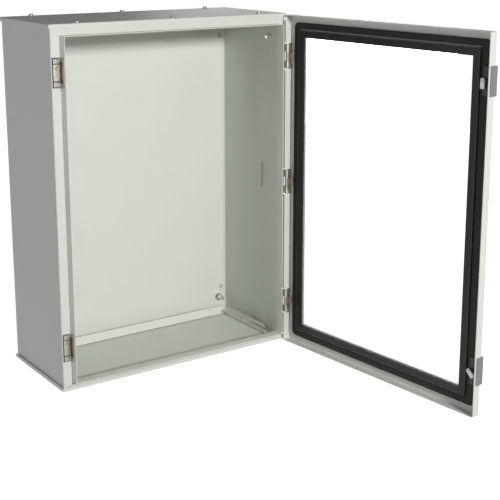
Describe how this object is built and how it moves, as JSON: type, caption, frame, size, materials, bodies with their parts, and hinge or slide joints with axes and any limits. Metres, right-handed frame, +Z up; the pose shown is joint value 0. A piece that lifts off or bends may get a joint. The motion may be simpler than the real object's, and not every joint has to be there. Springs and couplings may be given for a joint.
{
  "type": "steel wall enclosure",
  "caption": "Folded steel wall enclosure with a glazed side-hinged door, two quarter-turn edge locks and bolted top and bottom covers.",
  "frame": {"origin": "centre of the flat back face, midway between the four wall-fixing holes", "axes": "X to the right seen from the front, +Y into the wall, +Z up"},
  "size_m": [0.6672, 0.8614, 0.809],
  "materials": {
    "body_paint": "fine-textured light grey powder coat",
    "cover_paint": "fine-textured light grey powder coat",
    "door_paint": "fine-textured light grey powder coat",
    "gasket_foam": "black foamed polyurethane",
    "cover_seal_foam": "dark cellular rubber",
    "glazing_seal": "black glazing tape",
    "black_frame": "satin black",
    "clear_glass": "clear toughened glass",
    "grey_plastic": "mid grey moulded plastic",
    "black_plastic": "black moulded plastic",
    "nickel_plate": "nickel plated, slightly warm",
    "zinc_yellow": "zinc plated, slightly yellow",
    "stud_steel": "copper-free welded steel stud",
    "bright_steel": "bright zinc plated"
  },
  "bodies": {
    "cabinet": {"back_bottom_sill": "body_paint", "back_top_sill": "body_paint", "back_wall": "body_paint", "bottom_cover": "cover_paint", "bottom_cover_bolts": "bright_steel", "bottom_cover_seal": "cover_seal_foam", "bottom_cover_washers": "bright_steel", "bottom_cover_weld_nuts": "bright_steel", "earth_nut": "bright_steel", "earth_stud": "bright_steel", "earth_washer": "bright_steel", "front_bottom_rail": "body_paint", "front_top_rail": "body_paint", "hinge_screws": "bright_steel", "keeper_screws": "bright_steel", "left_bottom_sill": "body_paint", "left_front_upright": "body_paint", "left_top_sill": "body_paint", "left_wall": "body_paint", "lower_hinge_body_leaf": "zinc_yellow", "lower_hinge_pin": "bright_steel", "lower_keeper": "nickel_plate", "lower_latch_pocket": "black_plastic", "middle_hinge_body_leaf": "zinc_yellow", "middle_hinge_pin": "bright_steel", "mounting_stud_nuts": "bright_steel", "mounting_studs": "stud_steel", "right_bottom_sill": "body_paint", "right_front_upright": "body_paint", "right_top_sill": "body_paint", "right_wall": "body_paint", "top_cover": "cover_paint", "top_cover_bolts": "bright_steel", "top_cover_seal": "cover_seal_foam", "top_cover_washers": "bright_steel", "top_cover_weld_nuts": "bright_steel", "upper_hinge_body_leaf": "zinc_yellow", "upper_hinge_pin": "bright_steel", "upper_keeper": "nickel_plate", "upper_latch_pocket": "black_plastic"},
    "door": {"door_frame": "door_paint", "door_gasket": "gasket_foam", "window_pane": "clear_glass", "window_seal": "glazing_seal", "window_retainer": "black_frame", "hinge_rivets": "bright_steel", "lower_hinge_door_leaf": "zinc_yellow", "middle_hinge_door_leaf": "zinc_yellow", "upper_hinge_door_leaf": "zinc_yellow", "lower_lock_housing": "grey_plastic", "lower_lock_insert": "black_plastic", "upper_lock_housing": "grey_plastic", "upper_lock_insert": "black_plastic"},
    "lower_lock": {"lower_lock_barrel": "bright_steel", "lower_lock_cam": "bright_steel", "lower_lock_cam_screw": "bright_steel"},
    "upper_lock": {"upper_lock_barrel": "bright_steel", "upper_lock_cam": "bright_steel", "upper_lock_cam_screw": "bright_steel"}
  },
  "joints": [
    {"name": "door_swing", "type": "hinge", "parent": "cabinet", "child": "door", "pos_m": [0.296, -0.2675, 0], "axis": [0, 0, 1], "range_deg": [-95, 25]},
    {"name": "lower_lock_turn", "type": "hinge", "parent": "door", "child": "lower_lock", "pos_m": [0.3412, -0.84727, -0.3], "axis": [-0.9962, -0.0872, 0], "range_deg": [-135, 0]},
    {"name": "upper_lock_turn", "type": "hinge", "parent": "door", "child": "upper_lock", "pos_m": [0.3412, -0.84727, 0.3], "axis": [-0.9962, -0.0872, 0], "range_deg": [-90, 45]}
  ]
}
